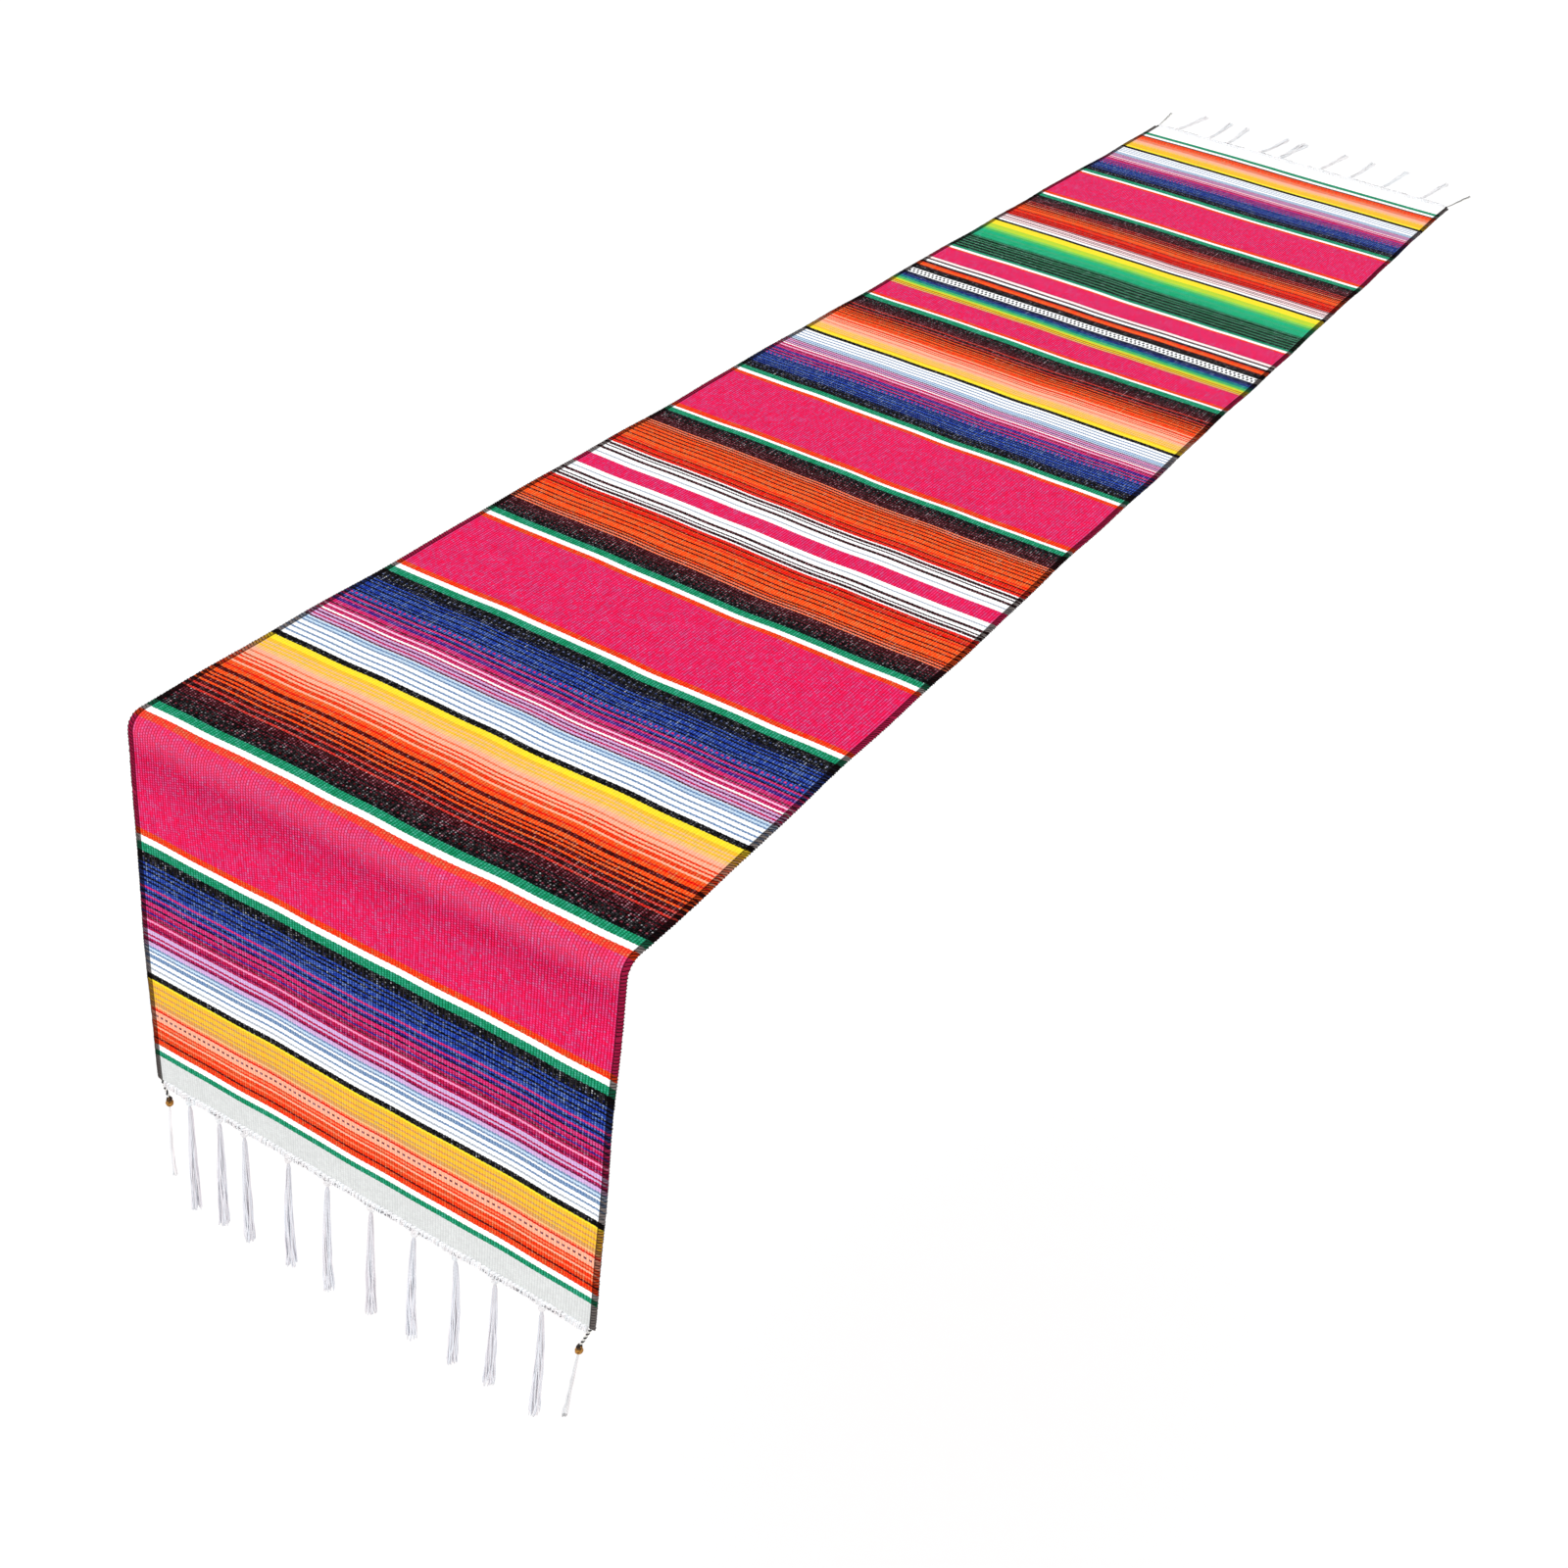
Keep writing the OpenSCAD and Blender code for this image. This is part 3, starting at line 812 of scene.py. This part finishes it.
NEAR, FAR = 10, 9                              # tassels at each end
joints = {j["name"]: Vector(j["pos_m"]) for j in frame["joints"]}
near_knots = [np.array(joints[f"near_tassel_{i + 1}_swing"]) for i in range(NEAR)]
far_knots = [np.array(joints[f"far_tassel_{i + 1}_swing"]) for i in range(FAR)]


def hem_point(x, row=2):
    """The middle of a row of the hanging end's heading at x. The knots draw the rows down."""
    points = cloth_point(x, np.zeros_like(x), 0.0)
    sag = 0.4 * np.sin(TAU * x / 0.052 + 0.7) + 0.3 * np.sin(TAU * x / 0.031)
    for k in near_knots:
        sag = sag + 1.6 * bump(x, k[0], 0.007)
    points[:, 2] = HEM_Z - MM * (1.0 + 1.8 * row + 0.7 * sag * (row + 1) / 3)
    return points


def far_point(x, row=1):
    """The middle of a row of the lying end's heading at x."""
    points = cloth_point(x, np.full_like(x, LENGTH), 0.0)
    points[:, 1] = FAR_Y + MM * (0.9 + 1.4 * row + 0.3 * np.sin(TAU * x / 0.057) * row)
    points[:, 2] = np.maximum(points[:, 2], 0) + 1.1 * MM
    return points


def shade_squiggles(soup, at, cross_a, cross_b, count, rng):
    """Thin grey threads that wriggle over the heading, put in as painted shade for the gaps between
    its loops.
    """
    for _ in range(count):
        start = rng.uniform(-CORD_HALF, CORD_HALF - 14 * MM)
        x = start + rng.uniform(4, 12) * MM * np.linspace(0, 1, 18)
        wriggle = rng.uniform(0.5, 1.3) * MM * np.sin(np.linspace(0, rng.uniform(8, 20), 18))
        path = at(x, 1) + np.outer(wriggle, cross_a) + 1.8 * MM * cross_b
        soup.tube(path, SHADE_SQUIGGLE_R, SHADE_SQUIGGLE_GREY, 5)


def header(name, at, rows, long, out, body, node, rng):
    """The heading that locks the cut edge: rows of twined cord with yarn looped over them."""
    soup = Soup()
    for row in range(rows):
        twined(soup, lambda x, row=row: at(x, row), long, out, CORD_HALF, CORD_LAY, rng)
    middle = (rows - 1) / 2
    hitches(soup, lambda x: at(x, middle), long, out, CORD_HALF, rng, (1.4 * rows - 1.2) * MM)
    shade_squiggles(soup, at, long, out, SHADE_SQUIGGLES, rng)
    return put(soup.piece(name, WHITE), body, node)


near_header = header("header_near", hem_point, 3, DOWN, OUT, "drop", "twined_cord_near", rng)
far_header = header("header_far", far_point, 2, ALONG, UP, "far_end", "twined_cord_far", rng)


def knots(name, centres, at, axis, spread, body, node, rng):
    """The row of knots, each with the warp yarns that gather into it from the cord."""
    soup = Soup()
    for centre in centres:
        # The knots are painted a little greyer than their yarn, as shade, so that they show against
        # the white cord
        knot(soup, centre, axis, RIGHT, 2.6 * MM, lambda: 0.92 * off_white(rng, 0.9), rng)
        for _ in range(6):
            x = centre[0] + rng.uniform(-spread, spread)
            top = at(np.array([x]))[0]
            middle = 0.55 * centre + 0.45 * top + (centre[0] - x) * 0.25 * RIGHT
            way = np.linspace(0, 1, 8)[:, None]
            path = (1 - way) ** 2 * top + 2 * way * (1 - way) * middle + way ** 2 * centre
            soup.tube(path, NEAR_GATHER_R, off_white(rng, 0.9), 5)
    return put(soup.piece(name, WHITE), body, node)


near_knot_piece = knots(
    "knots_near", near_knots, hem_point, DOWN, 4 * MM, "drop", "tassel_knots_near", rng
)


# ---- Tassels and wisps ----

NEAR_KNOT_R, FAR_KNOT_R = 3.2 * MM, 2.4 * MM   # how far from a knot's middle its tassel starts
NEAR_OPEN, FAR_OPEN = 3.9 * MM, 3.4 * MM       # radius of a tassel at its cut end
NEAR_YARNS, FAR_YARNS = 34, 22                 # yarns in a tassel
NEAR_YARN_R, FAR_YARN_R = 0.44 * MM, 0.5 * MM
THICK_ONE, THICKER = 4, 1.5                    # the far tassel that is thicker, and by how much
GOLDEN_ANGLE = 2.399963                        # spreads the yarns of a bundle evenly


def tassel(
    name, centre, aim, length, end_r, strands, thick, rng, material, tint, knot_r, floor=None
):
    """A bundle of soft yarns from just clear of its knot, which is knot_r in radius, to its cut
    ends. floor is the height it lies on."""
    soup = Soup()
    aim = np.asarray(aim, float) / np.linalg.norm(aim)
    across = np.cross(aim, OUT if floor is None else UP)
    across /= np.linalg.norm(across)
    third = np.cross(across, aim)
    way = np.linspace(0, 1, 20)
    bow = rng.uniform(-1, 1, 2) * 0.012 * length
    for k in range(strands):
        place = math.sqrt((k + 0.5) / strands)
        angle = k * GOLDEN_ANGLE + rng.uniform(-0.3, 0.3)
        open_r = end_r * (0.30 + 0.70 * way ** 0.8) * smooth(way, -0.03, 0.05)
        spin = angle + rng.uniform(-0.6, 0.6) * way + 0.3 * np.sin(TAU * way * 1.3 + k)
        shake = 0.35 * MM * way * np.sin(TAU * way * rng.uniform(2, 5) + rng.uniform(0, TAU))
        a = open_r * place * np.cos(spin) + shake + bow[0] * np.sin(math.pi * way)
        b = open_r * place * np.sin(spin) + (bow[1] * np.sin(math.pi * way) if floor is None else 0)
        gone = knot_r + (length - knot_r) * way * (1 - 0.012 * rng.uniform(0, 1) * way)
        path = centre + np.outer(gone, aim) + np.outer(a, across) + np.outer(b, third)
        radius = thick * rng.uniform(0.85, 1.15) * (0.75 + 0.35 * way)
        radius = radius * (1 - 0.3 * smooth(way, 0.97, 1))
        if floor is not None:
            drop = smooth(way, 0.02, 0.25)
            path[:, 2] = floor + (path[:, 2] - floor) * (1 - 0.35 * drop) - 0.4 * MM * drop
            path[:, 2] = np.maximum(path[:, 2], floor + radius)
        soup.tube(path, radius, tint(way[:-1]), 6, 3.0 * MM)
    return soup.piece(name, material)


def shaded_white_yarn(rng, least=0.93, shade_cast=(0.95, 0.945, 0.98)):
    """White yarn with painted shade: a little greyer near the knot, where the yarns crowd together,
    and tinted by a cast of grey-lavender shade.
    """
    def shade(way):
        base = off_white(rng, least) * shade_cast
        return base * (0.90 + 0.10 * smooth(way, 0.0, 0.35))[:, None]
    return shade


near_tassels, far_tassels = [], []
for i, centre in enumerate(near_knots):
    name = f"near_tassel_{i + 1}"
    length = centre[2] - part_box(name)[0].z - 0.5 * MM + rng.uniform(-2.0, 1.0) * MM
    lean = np.array([rng.uniform(-0.02, 0.02), rng.uniform(-0.006, 0.0), -1.0])
    piece = tassel(
        f"yarn_{name}", centre, lean, length, NEAR_OPEN, NEAR_YARNS, NEAR_YARN_R, rng, WHITE,
        shaded_white_yarn(rng), NEAR_KNOT_R,
    )
    near_tassels.append(put(piece, name, name))

for i, centre in enumerate(far_knots):
    name = f"far_tassel_{i + 1}"
    low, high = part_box(name)
    sideways = (low.x + high.x) / 2 - centre[0]
    middle = (high.y - centre[1]) / 2
    aim = np.array([sideways / middle, 1.0, 0.0])
    length = (high.y - centre[1]) + rng.uniform(-2.5, 0.5) * MM
    fat = THICKER if i == THICK_ONE else 1.0
    piece = tassel(
        f"yarn_{name}", centre, aim, length, FAR_OPEN * fat, round(FAR_YARNS * fat), FAR_YARN_R, rng,
        WHITE, shaded_white_yarn(rng, 0.9, (1.0, 1.0, 1.0)), FAR_KNOT_R, floor=0.0,
    )
    far_tassels.append(put(piece, name, name))


def plied(soup, start, stop, size, tints, pitch):
    """A two-ply thread between two points, one ply in each colour."""
    start, stop = np.asarray(start, float), np.asarray(stop, float)
    way = np.linspace(0, 1, 40)
    line = start + np.outer(way, stop - start)
    aim = (stop - start) / np.linalg.norm(stop - start)
    a = np.cross(aim, OUT if abs(aim[1]) < 0.5 else UP)
    a /= np.linalg.norm(a)
    b = np.cross(aim, a)
    turn = TAU * way * np.linalg.norm(stop - start) / pitch
    ply = 0.55 * size                          # radius of a ply, and how far off centre it is
    for k, tint in enumerate(tints):
        t = turn + math.pi * k
        path = line + ply * (np.outer(np.cos(t), a) + np.outer(np.sin(t), b))
        soup.tube(path, ply, tint, 6, 1.6 * MM)


INK, CREAM = linear((30, 30, 32)), linear((236, 234, 228))
AMBER, UMBER = linear((176, 122, 48)), linear((52, 32, 14))
for side, hand in ((-1, "left"), (1, "right")):
    centre = np.array(joints[f"near_wisp_{hand}_swing"])
    corner = cloth_point(np.array([side * (EDGE - 2.6 * MM)]), np.array([1.0 * MM]), 0.0)[0]
    soup = Soup()
    plied(soup, corner, centre + 3.5 * MM * UP, 1.0 * MM, (INK, CREAM), 5.2 * MM)
    put(soup.piece(f"corner_twist_{hand}", DARK), "drop", f"corner_thread_{hand}")
    soup = Soup()
    colours = iter([AMBER, UMBER, UMBER, AMBER, AMBER, UMBER])
    knot(soup, centre, DOWN, RIGHT, 2.6 * MM, lambda: next(colours), rng, 2.2, 0.45)
    knot(soup, centre + 3.4 * MM * UP, DOWN, RIGHT, 2.0 * MM, lambda: next(colours), rng, 1.8, 0.45)
    put(soup.piece(f"tied_knot_{hand}", BROWN), "drop", f"corner_knot_{hand}")
    name = f"near_wisp_{hand}"
    long = centre[2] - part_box(name)[0].z
    lean = np.array([-0.01 if side < 0 else -0.10, 0, -1.0])

    def wisp_tint(way, dark=side > 0):
        tip = smooth(way, 0.93, 0.97)[:, None] * (1.0 if dark else 0.0)
        return off_white(rng, 0.84) * (1 - tip) + INK * tip

    piece = tassel(
        f"yarn_{name}", centre, lean, long - 1 * MM, 1.5 * MM, 5, 0.6 * MM, rng, WHITE, wisp_tint,
        NEAR_KNOT_R,
    )
    put(piece, name, name)

    name = f"far_wisp_{hand}"
    centre = np.array(joints[f"far_wisp_{hand}_swing"])
    low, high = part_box(name)
    aim = np.array([(low.x if side < 0 else high.x) - centre[0], high.y - centre[1], 0.0])

    def dark_tint(way):
        return (INK if rng.uniform() < 0.7 else CREAM * 0.7) * rng.uniform(0.9, 1.6)

    piece = tassel(
        f"yarn_{name}", centre, aim, np.linalg.norm(aim) - 2 * MM, 1.3 * MM, 3, 0.5 * MM, rng,
        DARK, dark_tint, 1.5 * MM, floor=0.0,
    )
    put(piece, name, name)


def far_knot_row(rng):
    """The knots of the lying end, with the yarns that gather into them."""
    soup = Soup()
    for centre in far_knots:
        knot(soup, centre, ALONG, RIGHT, 2.1 * MM, lambda: off_white(rng, 0.9), rng, 2.6, 0.4)
        for _ in range(5):
            x = centre[0] + rng.uniform(-4, 4) * MM
            start = far_point(np.array([x]))[0]
            way = np.linspace(0, 1, 7)[:, None]
            soup.tube(start + way * (centre - start), FAR_GATHER_R, off_white(rng, 0.9), 5)
    for hand in ("left", "right"):
        centre = np.array(joints[f"far_wisp_{hand}_swing"])
        knot(soup, centre, ALONG, RIGHT, 1.25 * MM, lambda: INK * 1.5, rng, 2.0, 0.4)
    return soup.piece("knots_far", WHITE)


far_knot_piece = put(far_knot_row(rng), "far_end", "tassel_knots_far")


# ---- Floor, light and camera ----

def plain(name, colour, rough):
    nodes = Nodes(name)
    nodes.shader.inputs["Base Color"].default_value = (*colour, 1)
    nodes.shader.inputs["Roughness"].default_value = rough
    nodes.shader.inputs["Specular IOR Level"].default_value = 0.1
    return nodes.material


FLOOR_Z = -1.5                                 # low enough for no clear shadow
FLOOR_SIDE = 400
WORLD_LIGHT = 0.94
bpy.ops.mesh.primitive_plane_add(size=FLOOR_SIDE, location=(0, 0, FLOOR_Z))
floor = bpy.context.object
floor.name = "studio_floor"
floor.data.materials.append(plain("studio_floor", (0.96, 0.96, 0.96), 0.9))
floor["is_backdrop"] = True

scene = bpy.context.scene
scene.view_settings.view_transform = "Standard"
scene.view_settings.look = "None"
scene.world = scene.world or bpy.data.worlds.new("studio")
scene.world.use_nodes = True
background = scene.world.node_tree.nodes["Background"]
background.inputs["Color"].default_value = (1, 1, 1, 1)
background.inputs["Strength"].default_value = WORLD_LIGHT


def sun(name, aim, strength, spread):
    """A sun lamp that shines along aim. spread, in degrees, softens its shadows."""
    light = bpy.data.lights.new(name, "SUN")
    light.energy = strength
    light.angle = math.radians(spread)
    obj = bpy.data.objects.new(name, light)
    obj.rotation_mode = "QUATERNION"
    obj.rotation_quaternion = Vector(aim).to_track_quat("-Z", "Y")
    scene.collection.objects.link(obj)


sun("key", (0.35, 0.55, -1.0), 0.6, 60)
sun("fill", (-0.6, 1.0, -0.25), 0.25, 60)

# The camera stands to the right of the hanging end, at the angle of the usual product view
CAMERA_AT = (0.5777, -1.4853, 0.6833)
FOCAL, SENSOR = 45.52, 36                      # millimetres
AZIMUTH, ELEVATION, ROLL = (math.radians(a) for a in (25.98, 35.47, 8.12))
back = Vector((
    math.sin(AZIMUTH) * math.cos(ELEVATION), -math.cos(AZIMUTH) * math.cos(ELEVATION),
    math.sin(ELEVATION),
))
level = Vector((math.cos(AZIMUTH), math.sin(AZIMUTH), 0))
upright = back.cross(level)
right = level * math.cos(ROLL) + upright * math.sin(ROLL)
up = upright * math.cos(ROLL) - level * math.sin(ROLL)
lens = bpy.data.cameras.new("camera")
lens.sensor_width = SENSOR
lens.lens = FOCAL
lens.clip_start, lens.clip_end = 0.05, 60
camera = bpy.data.objects.new("camera", lens)
scene.collection.objects.link(camera)
camera.matrix_world = Matrix.Translation(CAMERA_AT) @ Matrix(
    (right, up, back)
).transposed().to_4x4()
scene.camera = camera

low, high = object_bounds()
